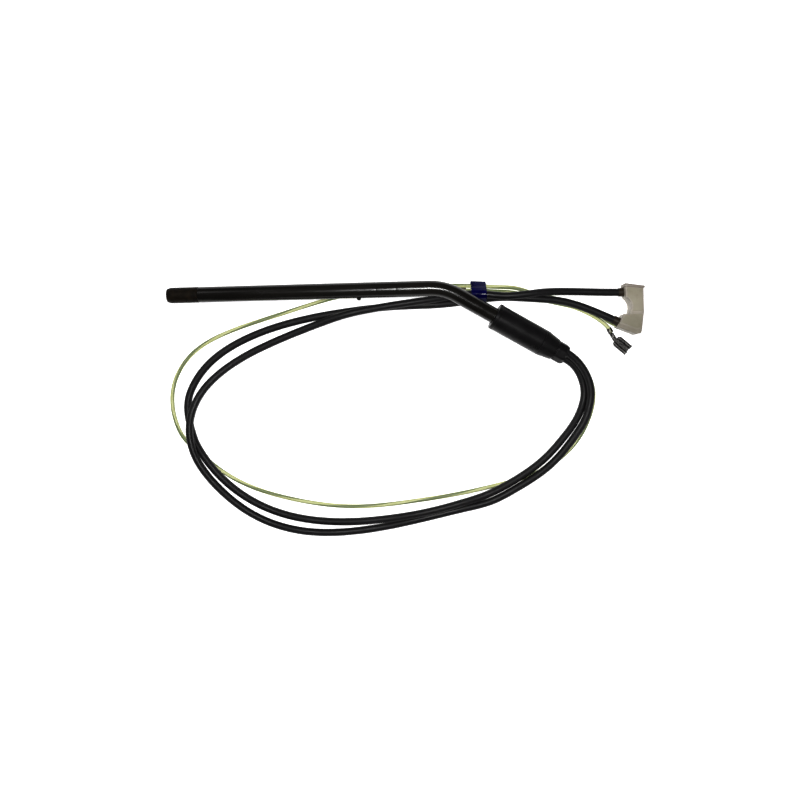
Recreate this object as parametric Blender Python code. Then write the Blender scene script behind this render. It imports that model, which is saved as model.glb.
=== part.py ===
"""Flame sensor probe lying on a table: a bent sighting tube with a screwed tip, a housing with a cable
nut, and a loose harness of two jacketed cables and an earth wire that ends in a plug and a tab terminal.

The frame is in metres with +Z up. X runs along the straight part of the tube, from the tip to the bend,
and the origin is under the middle of the rigid probe, on the table.
"""

import math

import bmesh
import bpy
import numpy as np
from mathutils import Matrix, Vector

MM = 0.001
GAP = 0.3 * MM

# Sighting tube
TUBE_RADIUS = 5.0 * MM
TUBE_BORE = 3.8 * MM
TIP_TO_BEND = 179.0 * MM
BEND_ANGLE = math.radians(30.7)
BEND_RADIUS = 35.0 * MM
TIP_LENGTH = 20.2 * MM
PIN_AT = 124.0 * MM

# Housing, measured along its axis from the corner of the bend
HOUSING_FRONT = 36.8 * MM
HOUSING_REAR = 71.4 * MM
CAP_REAR = 81.7 * MM
NUT_REAR = 89.5 * MM
HOUSING_RADIUS = 8.5 * MM
LIP_RADIUS = 8.8 * MM
NUT_RADIUS = 6.6 * MM

# How the probe lies on the table: on its tip and its rear end, propped on its own cables
TIP_PLACE = (-129.8 * MM, 22.6 * MM, 5.0 * MM)
PITCH = math.radians(3.0)
ROLL = math.radians(14.4)

# Cables and wires, and where they leave the housing around its axis
CABLE_RADIUS = 2.4 * MM
WIRE_RADIUS = 1.3 * MM
LEAD_RADIUS = 0.6 * MM
CABLE_OFFSET = 2.7 * MM
WIRE_OFFSET = 3.35 * MM
CABLE_TURN = math.radians(35.0)
WIRE_TURN = math.radians(-55.0)
CORD_START = 70.0 * MM

# Plug: an outline on the table, from its top left corner
PLUG_PLACE = (164.5 * MM, 23.2 * MM)
PLUG_BOTTOM = 0.0
PLUG_JOIN = 10.0 * MM
PLUG_TOP = 12.0 * MM
PLUG_WALL = 1.5 * MM
PLUG_OUTLINE = (
    (0.4, -2.6), (0.8, 0.0), (12.0, -1.4), (12.0, -17.9), (10.3, -31.6), (7.2, -32.3),
    (-4.9, -27.3), (-1.6, -20.6), (-0.8, -19.2), (2.5, -19.9), (3.5, -18.0),
    (4.2, -15.0), (3.8, -12.2), (2.5, -9.8), (0.8, -8.3),
)
ENTRY_A = (165.2 * MM, 18.5 * MM, 5.0 * MM)
ENTRY_B = (160.9 * MM, -0.8 * MM, 7.2 * MM)
ENTRY_B_TURN = math.radians(-28.0)
ENTRY_EARTH = (160.65 * MM, -2.6 * MM, 2.7 * MM)
ENTRY_EARTH_TURN = math.radians(-26.0)

# Tab terminal and band
TERMINAL_PLACE = (155.9 * MM, -4.7 * MM, 0.2 * MM)
TERMINAL_TURN = math.radians(-61.0)
NECK_LENGTH = 7.7 * MM
BOX_TURN = math.radians(-41.0)
BAND_STATIONS = (66.6 * MM, 71.8 * MM, 77.0 * MM)
BAND_WALL = 0.35 * MM
BAND_SLACK = 1.4 * MM

# Routes on the table, each continued from the housing, in metres
ROUTE_A = (
    (0.1333, -0.0251, 0.0083), (0.1377, -0.0307, 0.0077), (0.1425, -0.0457, 0.0069),
    (0.1415, -0.0540, 0.0065), (0.1384, -0.0634, 0.0062), (0.1324, -0.0729, 0.0059),
    (0.1166, -0.0912, 0.0056), (0.0922, -0.1074, 0.0056), (0.0766, -0.1151, 0.0044),
    (0.0610, -0.1192, 0.0027), (0.0240, -0.1272, 0.0025), (-0.0152, -0.1329, 0.0025),
    (-0.0511, -0.1309, 0.0025), (-0.0831, -0.1172, 0.0028), (-0.0962, -0.1060, 0.0046),
    (-0.1065, -0.0939, 0.0068), (-0.1133, -0.0821, 0.0083), (-0.1164, -0.0711, 0.0087),
    (-0.1167, -0.0608, 0.0081), (-0.1108, -0.0432, 0.0060), (-0.0922, -0.0244, 0.0029),
    (-0.0613, -0.0084, 0.0026), (-0.0303, 0.0030, 0.0052), (-0.0152, 0.0075, 0.0075),
    (-0.0003, 0.0105, 0.0079), (0.0301, 0.0148, 0.0077), (0.0437, 0.0166, 0.0068),
    (0.0548, 0.0183, 0.0057), (0.0639, 0.0192, 0.0063), (0.0721, 0.0190, 0.0077),
    (0.0798, 0.0182, 0.0084), (0.0875, 0.0174, 0.0087), (0.0951, 0.0175, 0.0093),
    (0.1028, 0.0181, 0.0098), (0.1126, 0.0192, 0.0088), (0.1240, 0.0197, 0.0063),
    (0.1514, 0.0188, 0.0049), (0.1645, 0.0185, 0.0050), (0.1690, 0.0185, 0.0050),
)
ROUTE_B = (
    (0.1321, -0.0280, 0.0041), (0.1359, -0.0335, 0.0034), (0.1388, -0.0469, 0.0030),
    (0.1366, -0.0563, 0.0032), (0.1321, -0.0650, 0.0040), (0.1259, -0.0730, 0.0050),
    (0.1118, -0.0880, 0.0056), (0.0887, -0.1036, 0.0056), (0.0740, -0.1106, 0.0056),
    (0.0585, -0.1154, 0.0058), (0.0430, -0.1193, 0.0062), (0.0046, -0.1252, 0.0059),
    (-0.0338, -0.1256, 0.0027), (-0.0687, -0.1166, 0.0025), (-0.0930, -0.1004, 0.0046),
    (-0.1022, -0.0906, 0.0054), (-0.1092, -0.0811, 0.0052), (-0.1141, -0.0726, 0.0039),
    (-0.1171, -0.0635, 0.0027), (-0.1185, -0.0453, 0.0025), (-0.1149, -0.0356, 0.0025),
    (-0.1072, -0.0247, 0.0025), (-0.0808, -0.0066, 0.0025), (-0.0461, 0.0046, 0.0025),
    (-0.0122, 0.0102, 0.0025), (0.0204, 0.0128, 0.0025), (0.0497, 0.0136, 0.0027),
    (0.0608, 0.0147, 0.0032), (0.0705, 0.0159, 0.0035), (0.0790, 0.0167, 0.0034),
    (0.0874, 0.0170, 0.0036), (0.0957, 0.0166, 0.0044), (0.1040, 0.0159, 0.0052),
    (0.1130, 0.0151, 0.0054), (0.1240, 0.0137, 0.0054), (0.1452, 0.0067, 0.0059),
    (0.1535, 0.0028, 0.0069), (0.1609, -0.0008, 0.0072), (0.1632, -0.0020, 0.0073),
)
ROUTE_EARTH = (
    (0.1336, -0.0236, 0.0032), (0.1389, -0.0290, 0.0022), (0.1428, -0.0359, 0.0015),
    (0.1450, -0.0437, 0.0014), (0.1416, -0.0632, 0.0014), (0.1365, -0.0732, 0.0014),
    (0.1278, -0.0838, 0.0014), (0.1008, -0.0998, 0.0014), (0.0876, -0.1034, 0.0014),
    (0.0582, -0.1096, 0.0014), (0.0262, -0.1142, 0.0014), (-0.0117, -0.1168, 0.0014),
    (-0.0539, -0.1107, 0.0014), (-0.0875, -0.0984, 0.0014), (-0.1017, -0.0889, 0.0014),
    (-0.1135, -0.0786, 0.0014), (-0.1221, -0.0699, 0.0014), (-0.1268, -0.0601, 0.0014),
    (-0.1283, -0.0372, 0.0014), (-0.1167, -0.0163, 0.0014), (-0.0907, -0.0012, 0.0014),
    (-0.0546, 0.0102, 0.0014), (-0.0185, 0.0200, 0.0014), (0.0239, 0.0245, 0.0014),
    (0.0435, 0.0256, 0.0014), (0.0727, 0.0247, 0.0021), (0.0858, 0.0240, 0.0016),
    (0.0962, 0.0230, 0.0014), (0.1053, 0.0202, 0.0014), (0.1150, 0.0175, 0.0014),
    (0.1247, 0.0151, 0.0014), (0.1332, 0.0130, 0.0014), (0.1409, 0.0104, 0.0014),
    (0.1475, 0.0067, 0.0014), (0.1520, 0.0032, 0.0017), (0.1555, 0.0003, 0.0023),
    (0.16065, -0.0026, 0.0027), (0.1632, -0.00384, 0.0027),
)
ROUTE_TAIL = (
    (0.0605, 0.0222, 0.0019), (0.0727, 0.0218, 0.0021), (0.0857, 0.0210, 0.0016),
    (0.0955, 0.0200, 0.0014), (0.1052, 0.0172, 0.0014), (0.1149, 0.0145, 0.0014),
    (0.1247, 0.0121, 0.0014), (0.1331, 0.0099, 0.0014), (0.1400, 0.0070, 0.0014),
    (0.1455, 0.0041, 0.0014), (0.1500, 0.0012, 0.0014), (0.1533, -0.0016, 0.0018),
    (0.1559, -0.0047, 0.0022), (0.1574, -0.0074, 0.00226),
)


# ---------------------------------------------------------------- scene, materials and frames

def clear_scene():
    for obj in list(bpy.data.objects):
        bpy.data.objects.remove(obj, do_unlink=True)


def make_material(name, color, roughness, metallic=0.0):
    material = bpy.data.materials.new(name)
    material.use_nodes = True
    shader = material.node_tree.nodes["Principled BSDF"]
    shader.inputs["Base Color"].default_value = (*color, 1.0)
    shader.inputs["Roughness"].default_value = roughness
    shader.inputs["Metallic"].default_value = metallic
    return material


def make_frame(name, parent, matrix):
    frame = bpy.data.objects.new(name, None)
    bpy.context.scene.collection.objects.link(frame)
    frame.parent = parent
    frame.matrix_basis = matrix
    return frame


def add_object(name, data, material, parent=None):
    obj = bpy.data.objects.new(name, data)
    bpy.context.scene.collection.objects.link(obj)
    obj.parent = parent
    if material:
        data.materials.append(material)
    return obj


def hide_cutter(obj):
    obj.hide_render = True
    obj.display_type = "WIRE"
    return obj


def finish_mesh(name, bm, material, parent):
    """Makes the mesh an object, shaded smooth with its sharp edges kept."""
    bmesh.ops.recalc_face_normals(bm, faces=bm.faces)
    mesh = bpy.data.meshes.new(name)
    bm.to_mesh(mesh)
    bm.free()
    mesh.shade_smooth()
    mesh.set_sharp_from_angle(angle=math.radians(35.0))
    return add_object(name, mesh, material, parent)


def boolean(obj, other, operation):
    modifier = obj.modifiers.new(other.name, "BOOLEAN")
    modifier.operation = operation
    modifier.object = other
    modifier.solver = "EXACT"


# ---------------------------------------------------------------- shapes

def turned(name, profile, material, parent, steps=32, arc=math.tau):
    """Turns a closed outline of (along, radius) points, in millimetres, round the X axis."""
    bm = bmesh.new()
    points = [bm.verts.new((x * MM, 0.0, r * MM)) for x, r in profile]
    edges = [bm.edges.new((a, b)) for a, b in zip(points, points[1:] + points[:1])]
    whole = arc > math.tau - 0.01
    if not whole:
        bm.faces.new(points)
    bmesh.ops.spin(
        bm, geom=(points + edges) if whole else (points + edges + bm.faces[:]),
        cent=(0, 0, 0), axis=(1, 0, 0), angle=arc, steps=steps,
    )
    bmesh.ops.remove_doubles(bm, verts=bm.verts, dist=0.002 * MM)
    bmesh.ops.dissolve_degenerate(bm, edges=bm.edges, dist=0.001 * MM)
    return finish_mesh(name, bm, material, parent)


def ring(name, low, high, inner, outer, material, parent, steps=32, arc=math.tau):
    """A plain ring between two places along the axis, in millimetres."""
    return turned(name, ((low, inner), (low, outer), (high, outer), (high, inner)), material, parent, steps, arc)


def o_ring(name, along, major, minor, material, parent, around=8):
    profile = [
        (along + minor * math.cos(turn), major + minor * math.sin(turn))
        for turn in (math.tau * i / around for i in range(around))
    ]
    return turned(name, profile, material, parent)


def rod(name, low, high, radius, material, parent, place=(0, 0, 0), steps=16):
    """A solid bar along X, in metres; place moves it sideways."""
    bm = bmesh.new()
    matrix = Matrix.Translation(Vector(place) + Vector(((low + high) / 2, 0, 0))) @ Matrix.Rotation(math.pi / 2, 4, "Y")
    bmesh.ops.create_cone(
        bm, cap_ends=True, segments=steps, radius1=radius, radius2=radius, depth=high - low, matrix=matrix,
    )
    return finish_mesh(name, bm, material, parent)


def block(name, low, high, material, parent, bevel=0.0):
    """A box between two corners, in metres, with its edges rounded by a bevel."""
    bm = bmesh.new()
    low, high = Vector(low), Vector(high)
    size = high - low
    matrix = Matrix.Translation((low + high) / 2) @ Matrix.Diagonal((*size, 1.0))
    bmesh.ops.create_cube(bm, size=1.0, matrix=matrix)
    if bevel:
        bmesh.ops.bevel(bm, geom=bm.edges[:], offset=bevel, segments=1, affect="EDGES")
    return finish_mesh(name, bm, material, parent)


def extruded(name, outline, low, high, material, parent):
    """An outline of (x, y) points in millimetres, raised from low to high."""
    bm = bmesh.new()
    bottom = bm.faces.new([bm.verts.new((x * MM, y * MM, low)) for x, y in outline])
    made = bmesh.ops.extrude_face_region(bm, geom=[bottom])
    raised = [item for item in made["geom"] if isinstance(item, bmesh.types.BMVert)]
    bmesh.ops.translate(bm, verts=raised, vec=(0, 0, high - low))
    return finish_mesh(name, bm, material, parent)


def smooth_points(route, spacing, least_z):
    """Points at even steps along a natural cubic spline through the route, none lower than least_z."""
    points = np.array([tuple(point) for point in route], dtype=float)
    lengths = np.linalg.norm(np.diff(points, axis=0), axis=1)
    at = np.concatenate([[0.0], np.cumsum(lengths)])
    count = len(points)
    system = np.eye(count)
    right = np.zeros((count, 3))
    for i in range(1, count - 1):
        before, after = lengths[i - 1], lengths[i]
        system[i, i - 1:i + 2] = (before, 2 * (before + after), after)
        right[i] = 6 * ((points[i + 1] - points[i]) / after - (points[i] - points[i - 1]) / before)
    bends = np.linalg.solve(system, right)
    wanted = np.linspace(0.0, at[-1], max(3, round(at[-1] / spacing)) + 1)
    span = np.clip(np.searchsorted(at, wanted, side="right") - 1, 0, count - 2)
    size = lengths[span][:, None]
    left = at[span + 1][:, None] - wanted[:, None]
    done = wanted[:, None] - at[span][:, None]
    found = (bends[span] * left**3 + bends[span + 1] * done**3) / (6 * size)
    found += (points[span] / size - bends[span] * size / 6) * left
    found += (points[span + 1] / size - bends[span + 1] * size / 6) * done
    found[:, 2] = np.maximum(found[:, 2], least_z)
    return found


def cord(name, points, radius, material, resolution, parent=None):
    """A round cord along the points: a poly curve with a bevel and filled caps."""
    curve = bpy.data.curves.new(name, "CURVE")
    curve.dimensions = "3D"
    curve.bevel_depth = radius
    curve.bevel_resolution = resolution
    curve.use_fill_caps = True
    spline = curve.splines.new("POLY")
    spline.points.add(len(points) - 1)
    for point, place in zip(spline.points, points):
        point.co = (*place, 1.0)
    return add_object(name, curve, material, parent)


def around_axis(radius, turn):
    return radius * math.cos(turn), radius * math.sin(turn)


def bent_axis(start, end):
    """Points of the tube's axis in the probe's frame, from start to end along it; end counts from the corner."""
    setback = BEND_RADIUS * math.tan(BEND_ANGLE / 2)
    first = [Vector((start + (TIP_TO_BEND - setback - start) * i / 4, 0, 0)) for i in range(4)]
    turns = [BEND_ANGLE * i / 8 for i in range(9)]
    arc = [
        Vector((TIP_TO_BEND - setback + BEND_RADIUS * math.sin(t), BEND_RADIUS * (math.cos(t) - 1), 0))
        for t in turns
    ]
    along = Vector((math.cos(BEND_ANGLE), -math.sin(BEND_ANGLE), 0))
    corner = Vector((TIP_TO_BEND, 0, 0))
    last = [corner + along * (setback + (end - setback) * i / 3) for i in range(1, 4)]
    return first + arc + last


def axis_frames(points):
    """For each point, its sideways direction in the plane of the bend, square to the axis."""
    sides = []
    for i in range(len(points)):
        run = (points[min(i + 1, len(points) - 1)] - points[max(i - 1, 0)]).normalized()
        sides.append(Vector((-run.y, run.x, 0)))
    return sides


# ---------------------------------------------------------------- the probe

def make_sight_tube(material, frame):
    """The bent steel tube, open at both ends."""
    steps = 32
    points = bent_axis(TIP_LENGTH + GAP, 49.5 * MM)
    bm = bmesh.new()
    rings = []
    for point, side in zip(points, axis_frames(points)):
        up = Vector((0, 0, 1))
        for radius in (TUBE_RADIUS, TUBE_BORE):
            turns = [math.tau * i / steps for i in range(steps)]
            rings.append([bm.verts.new(point + side * radius * math.cos(t) + up * radius * math.sin(t)) for t in turns])
    outer, inner = rings[0::2], rings[1::2]

    def bridge(first, second):
        for i in range(steps):
            j = (i + 1) % steps
            bm.faces.new((first[i], first[j], second[j], second[i]))

    for first, second in zip(outer, outer[1:]):
        bridge(first, second)
    for first, second in zip(inner, inner[1:]):
        bridge(first, second)
    bridge(outer[0], inner[0])
    bridge(outer[-1], inner[-1])
    return finish_mesh("sight_tube", bm, material, frame)


def make_tip(paint, glass, rubber, brass, frame):
    """The screwed tip: a sleeve with a window held by a threaded ring against a seal."""
    turned("tip_sleeve", (
        (0.0, 4.2), (0.3, 4.45), (2.4, 5.0), (20.2, 5.0), (20.2, 3.5), (27.0, 3.5), (27.0, 2.9),
        (20.6, 2.9), (20.6, 3.3), (6.2, 3.3), (6.2, 3.9), (0.0, 3.9),
    ), paint, frame)
    ring("window_ring", 0.6, 2.0, 2.9, 3.6, brass, frame)
    turned("window", ((2.3, 0.0), (2.45, 1.8), (2.8, 3.6), (4.0, 3.6), (4.0, 0.0)), glass, frame)
    o_ring("window_seal", 5.0, 3.0, 0.6, rubber, frame)


def make_sensor(steel, dark, plastic, frame):
    """The light sensor behind the window: a can on a header in an insulating carrier."""
    turned("sensor_can", (
        (7.6, 0.0), (7.9, 1.2), (8.3, 1.7), (8.3, 2.2), (12.0, 2.2), (12.0, 0.0),
    ), steel, frame)
    turned("sensor_header", ((12.3, 0.0), (12.3, 2.35), (13.3, 2.35), (13.3, 0.0)), dark, frame)
    carrier = turned("sensor_carrier", (
        (8.0, 2.65), (8.0, 3.0), (15.6, 3.0), (15.6, 0.0), (14.0, 0.0), (14.0, 2.65),
    ), plastic, frame)
    spacer = turned("lead_spacer", ((93.0, 0.0), (93.0, 3.45), (97.0, 3.45), (97.0, 0.0)), plastic, frame)
    for sign in (1, -1):
        for obj, low, high in ((carrier, 13.0, 17.0), (spacer, 92.0, 98.0)):
            hole = rod(f"{obj.name}_hole_{sign}", low * MM, high * MM, 0.95 * MM, None, frame, (0, sign * 1.2 * MM, 0))
            boolean(obj, hide_cutter(hole), "DIFFERENCE")


def make_leads(red, blue, copper, port_points, frame):
    """Two thin leads from the sensor, through the tube, to the crimp joints in the housing."""
    offset = 1.2 * MM
    axis = bent_axis(14.4 * MM, 46.0 * MM)
    sides = axis_frames(axis)
    for name, sign, material in (("lead_a", 1, red), ("lead_b", -1, blue)):
        inside = [point + side * offset * sign for point, side in zip(axis, sides)]
        y, z = around_axis(CABLE_OFFSET * sign, CABLE_TURN)
        ends = [port_points(53.0 * MM, y * 0.8, z * 0.8), port_points(57.0 * MM, y, z), port_points(59.0 * MM, y, z)]
        cord(name, inside + ends, LEAD_RADIUS, material, 1, frame)


def make_housing(plastic, nut_plastic, rubber, steel, copper, frame, nut_frame):
    """The moulded housing with everything that turns about its axis."""
    front, rear, cap = HOUSING_FRONT / MM, HOUSING_REAR / MM, CAP_REAR / MM
    body, lip, nut = HOUSING_RADIUS / MM, LIP_RADIUS / MM, NUT_RADIUS / MM
    turned("housing_body", (
        (front, 5.3), (front, 8.1), (front + 0.7, lip), (front + 2.9, lip), (front + 3.3, body),
        (rear, body), (rear, 7.4), (front + 3.2, 7.4), (front + 3.2, 5.3),
    ), plastic, frame, steps=40)
    turned("rear_cap", (
        (rear - 4.9, 6.4), (rear - 4.9, 7.1), (rear + 0.3, 7.1), (rear + 0.3, body),
        (rear + 1.5, 8.35), (cap - 0.6, 7.05), (cap, 7.0), (cap, 6.4),
    ), plastic, frame, steps=40)
    turned("cable_nut", (
        (cap - 2.8, 5.45), (cap - 2.8, 6.1), (cap + 0.3, 6.1), (cap + 0.3, nut - 0.15), (cap + 0.6, nut),
        (cap + 7.0, nut), (cap + 7.8, nut - 0.8), (cap + 7.8, 5.45),
    ), nut_plastic, nut_frame, steps=32)
    ring("gland_washer", cap - 3.8, cap - 3.1, 5.45, 6.1, steel, frame)
    grommet = turned("cable_grommet", ((72.6, 0.0), (72.6, 6.1), (77.6, 6.1), (77.6, 0.0)), rubber, frame)
    holes = (
        ("a", CABLE_OFFSET, CABLE_TURN, CABLE_RADIUS),
        ("b", -CABLE_OFFSET, CABLE_TURN, CABLE_RADIUS),
        ("earth", WIRE_OFFSET, WIRE_TURN, WIRE_RADIUS),
    )
    for name, radius, turn, size in holes:
        y, z = around_axis(radius, turn)
        hole = rod(f"grommet_hole_{name}", 71.0 * MM, 79.0 * MM, size + 0.18 * MM, None, frame, (0, y, z), 20)
        boolean(grommet, hide_cutter(hole), "DIFFERENCE")
    o_ring("tube_seal", 42.5, 6.1, 0.75, rubber, frame)
    ring("tube_circlip", 44.2, 45.2, 5.3, 6.8, steel, frame, steps=30, arc=math.radians(320))
    ring("earth_clip", 45.8, 48.6, 5.3, 5.8, copper, frame, steps=30, arc=math.radians(320))


def make_joints_inside(tin, copper, green, frame):
    """The crimp joints between leads and cables, and the bare cores that run into them."""
    for name, sign in (("a", 1), ("b", -1)):
        y, z = around_axis(CABLE_OFFSET * sign, CABLE_TURN)
        place = Matrix.Translation((0, y, z))
        crimp = ring(f"crimp_joint_{name}", 57.4, 65.0, 0.95, 1.6, tin, frame, steps=16)
        crimp.matrix_basis = place
        rod(f"cable_core_{name}", 61.0 * MM, 69.7 * MM, 0.6 * MM, copper, frame, (0, y, z), 10)
    y, z = around_axis(WIRE_OFFSET, WIRE_TURN)
    far_y, far_z = around_axis(6.55 * MM, WIRE_TURN)
    route = (
        (69.7 * MM, y, z), (67.0 * MM, y, z), (61.0 * MM, (y + far_y) / 2, (z + far_z) / 2),
        (55.0 * MM, far_y, far_z), (46.5 * MM, far_y, far_z),
    )
    cord("earth_core", smooth_points(route, 3.0 * MM, -1.0), 0.45 * MM, copper, 1, frame)


def make_locating_pin(steel, frame):
    """The small pin that stands out of the tube's side, a little short of the bend."""
    bm = bmesh.new()
    matrix = Matrix.Translation((PIN_AT, -TUBE_RADIUS - 0.9 * MM, 0)) @ Matrix.Rotation(math.pi / 2, 4, "X")
    bmesh.ops.create_cone(
        bm, cap_ends=True, segments=16, radius1=1.4 * MM, radius2=1.1 * MM, depth=1.2 * MM, matrix=matrix,
    )
    return finish_mesh("locating_pin", bm, steel, frame)


# ---------------------------------------------------------------- the harness

def wrapped(name, cords, stations, spare):
    """The tight skin round circles that stand off every cord by spare, one circle at each station."""
    bm = bmesh.new()
    for points, radius in cords:
        beside = points[points[:, 1] > 0.0]
        for station in stations:
            nearest = beside[np.argmin(np.abs(beside[:, 0] - station))]
            for turn in (math.tau * i / 20 for i in range(20)):
                y, z = around_axis(radius + spare, turn)
                bm.verts.new((station, nearest[1] + y, nearest[2] + z))
    made = bmesh.ops.convex_hull(bm, input=bm.verts)
    inside = set(made["geom_interior"]) | set(made["geom_unused"])
    loose = [item for item in inside if isinstance(item, bmesh.types.BMVert)]
    bmesh.ops.delete(bm, geom=loose, context="VERTS")
    return finish_mesh(name, bm, None, None)


def make_band(material, cords):
    """The soft band round the harness, open at both ends."""
    first, middle, last = BAND_STATIONS
    band = wrapped("cable_band", cords, BAND_STATIONS, GAP + BAND_WALL)
    band.data.materials.append(material)
    hollow = wrapped("band_hollow", cords, (first - MM, middle, last + MM), GAP)
    boolean(band, hide_cutter(hollow), "DIFFERENCE")


def entry_frame(name, place, turn, parent=None):
    return make_frame(name, parent, Matrix.Translation(place) @ Matrix.Rotation(turn, 4, "Z"))


def make_plug(plastic, rubber, tin):
    """A flat two-part plug with two cable entries, an earth entry and three contacts."""
    place = make_frame("plug_frame", None, Matrix.Translation((*PLUG_PLACE, 0)))
    body = extruded("plug_body", PLUG_OUTLINE, PLUG_BOTTOM, PLUG_JOIN, plastic, place)
    bm = bmesh.new()
    bm.from_mesh(body.data)
    top = max(bm.faces, key=lambda face: face.calc_center_median().z)
    bmesh.ops.inset_region(bm, faces=[top], thickness=PLUG_WALL, use_even_offset=True)
    bmesh.ops.translate(
        bm,
        verts=list({v for v in bmesh.ops.extrude_face_region(bm, geom=[top])["geom"]
                    if isinstance(v, bmesh.types.BMVert)}),
        vec=(0, 0, -(PLUG_JOIN - PLUG_BOTTOM - 1.0 * MM)),
    )
    bmesh.ops.delete(bm, geom=[top], context="FACES_ONLY")
    bmesh.ops.recalc_face_normals(bm, faces=bm.faces)
    bm.to_mesh(body.data)
    bm.free()
    extruded("plug_cover", PLUG_OUTLINE, PLUG_JOIN + GAP, PLUG_TOP, plastic, place)
    entries = (
        ("a", ENTRY_A, 0.0, 3.05 * MM, 3.0 * MM),
        ("b", ENTRY_B, ENTRY_B_TURN, 3.1 * MM, 3.2 * MM),
    )
    for name, spot, turn, hole_radius, hole_end in entries:
        frame = entry_frame(f"entry_{name}", spot, turn)
        hole = rod(f"plug_entry_{name}", -8.0 * MM, hole_end, hole_radius, None, frame, steps=24)
        boolean(body, hide_cutter(hole), "DIFFERENCE")
        ring(f"plug_boot_{name}", -3.2, 1.2, 2.62, 2.9, rubber, frame, steps=20)
    earth = entry_frame("entry_earth", ENTRY_EARTH, ENTRY_EARTH_TURN)
    hole = rod("plug_entry_earth", -6.0 * MM, 3.6 * MM, 1.6 * MM, None, earth, steps=16)
    boolean(body, hide_cutter(hole), "DIFFERENCE")
    contacts = (("a", 170.0, 18.5, 5.0), ("b", 168.0, -4.0, 7.5), ("earth", 168.0, -3.9, 3.2))
    for name, x, y, z in contacts:
        width = 1.0
        block(
            f"plug_contact_{name}",
            (x * MM, (y - width) * MM, (z - width) * MM), (172.6 * MM, (y + width) * MM, (z + width) * MM),
            tin, None, bevel=0.2 * MM,
        )
        slot = block(
            f"plug_slot_{name}",
            (173.0 * MM, (y - 0.8) * MM, (z - 0.8) * MM), (180.0 * MM, (y + 0.8) * MM, (z + 0.8) * MM), None, None,
        )
        boolean(body, hide_cutter(slot), "DIFFERENCE")


def make_terminal(tin):
    """A receptacle for a 6.3 mm tab, with a crimp barrel for its wire."""
    frame = entry_frame("terminal_frame", TERMINAL_PLACE, TERMINAL_TURN)
    section = (
        (1.2, 2.9), (3.0, 2.9), (3.7, 2.2), (3.7, 0.7), (3.0, 0.0), (-3.0, 0.0), (-3.7, 0.7), (-3.7, 2.2),
        (-3.0, 2.9), (-1.2, 2.9), (-1.2, 2.35), (-2.75, 2.35), (-3.15, 1.95), (-3.15, 0.95), (-2.75, 0.55),
        (2.75, 0.55), (3.15, 0.95), (3.15, 1.95), (2.75, 2.35), (1.2, 2.35),
    )

    corner = Vector((NECK_LENGTH * math.cos(TERMINAL_TURN), NECK_LENGTH * math.sin(TERMINAL_TURN), 0))
    box_frame = entry_frame("terminal_box_frame", Vector(TERMINAL_PLACE) + corner, BOX_TURN)

    def run(name, outline, low, high, parent):
        bm = bmesh.new()
        face = bm.faces.new([bm.verts.new((low * MM, y * MM, z * MM)) for y, z in outline])
        made = bmesh.ops.extrude_face_region(bm, geom=[face])
        raised = [item for item in made["geom"] if isinstance(item, bmesh.types.BMVert)]
        bmesh.ops.translate(bm, verts=raised, vec=((high - low) * MM, 0, 0))
        return finish_mesh(name, bm, tin, parent)

    terminal = run("terminal", section, 1.4, 11.6, box_frame)
    near = ((-1.5, 0.02), (1.5, 0.02), (1.5, 0.53), (-1.5, 0.53))
    far = ((-1.5, 0.03), (1.5, 0.03), (1.5, 0.52), (-1.5, 0.52))
    boolean(terminal, hide_cutter(run("terminal_strap_near", near, 0.5, 8.2, frame)), "UNION")
    boolean(terminal, hide_cutter(run("terminal_strap_far", far, -0.3, 2.4, box_frame)), "UNION")
    barrel = ring("terminal_barrel", 0.0, 5.6, 1.55, 2.05, tin, frame, steps=20)
    barrel.matrix_basis = Matrix.Translation((0, 0, 2.06 * MM))
    boolean(terminal, hide_cutter(barrel), "UNION")
    return terminal


def make_harness(black, green, blue, tin, port_point):
    """The cords on the table, from inside the grommet to the plug and the terminal."""
    def from_port(radius, turn, route):
        y, z = around_axis(radius, turn)
        return [port_point(at * MM, y, z) for at in (CORD_START / MM, 79.0, 88.0)] + list(route)

    made = []
    for name, radius, turn, route, size, material, spacing, resolution in (
        ("cable_a", CABLE_OFFSET, CABLE_TURN, ROUTE_A, CABLE_RADIUS, black, 9.2 * MM, 3),
        ("cable_b", -CABLE_OFFSET, CABLE_TURN, ROUTE_B, CABLE_RADIUS, black, 9.2 * MM, 3),
        ("earth_wire", WIRE_OFFSET, WIRE_TURN, ROUTE_EARTH, WIRE_RADIUS, green, 9.2 * MM, 2),
        ("earth_tail", 0.0, 0.0, ROUTE_TAIL, WIRE_RADIUS, green, 6.0 * MM, 2),
    ):
        whole = list(route) if name == "earth_tail" else from_port(radius, turn, route)
        points = smooth_points(whole, spacing, size + 0.05 * MM)
        cord(name, points, size, material, resolution)
        made.append((smooth_points(whole, MM, size + 0.05 * MM), size))
    slack = made[2][0] + np.array((0, BAND_SLACK, 0))
    make_band(blue, made + [(slack, WIRE_RADIUS)])
    splice = entry_frame("splice_frame", (ROUTE_TAIL[0][0], ROUTE_TAIL[0][1], ROUTE_TAIL[0][2]), math.radians(-2.0))
    turned("earth_splice", (
        (-2.2, 0.0), (-2.2, 1.3), (-1.7, 1.8), (3.0, 1.8), (3.0, 1.5), (-0.5, 1.5), (-0.5, 0.0),
    ), tin, splice, steps=16)


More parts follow.
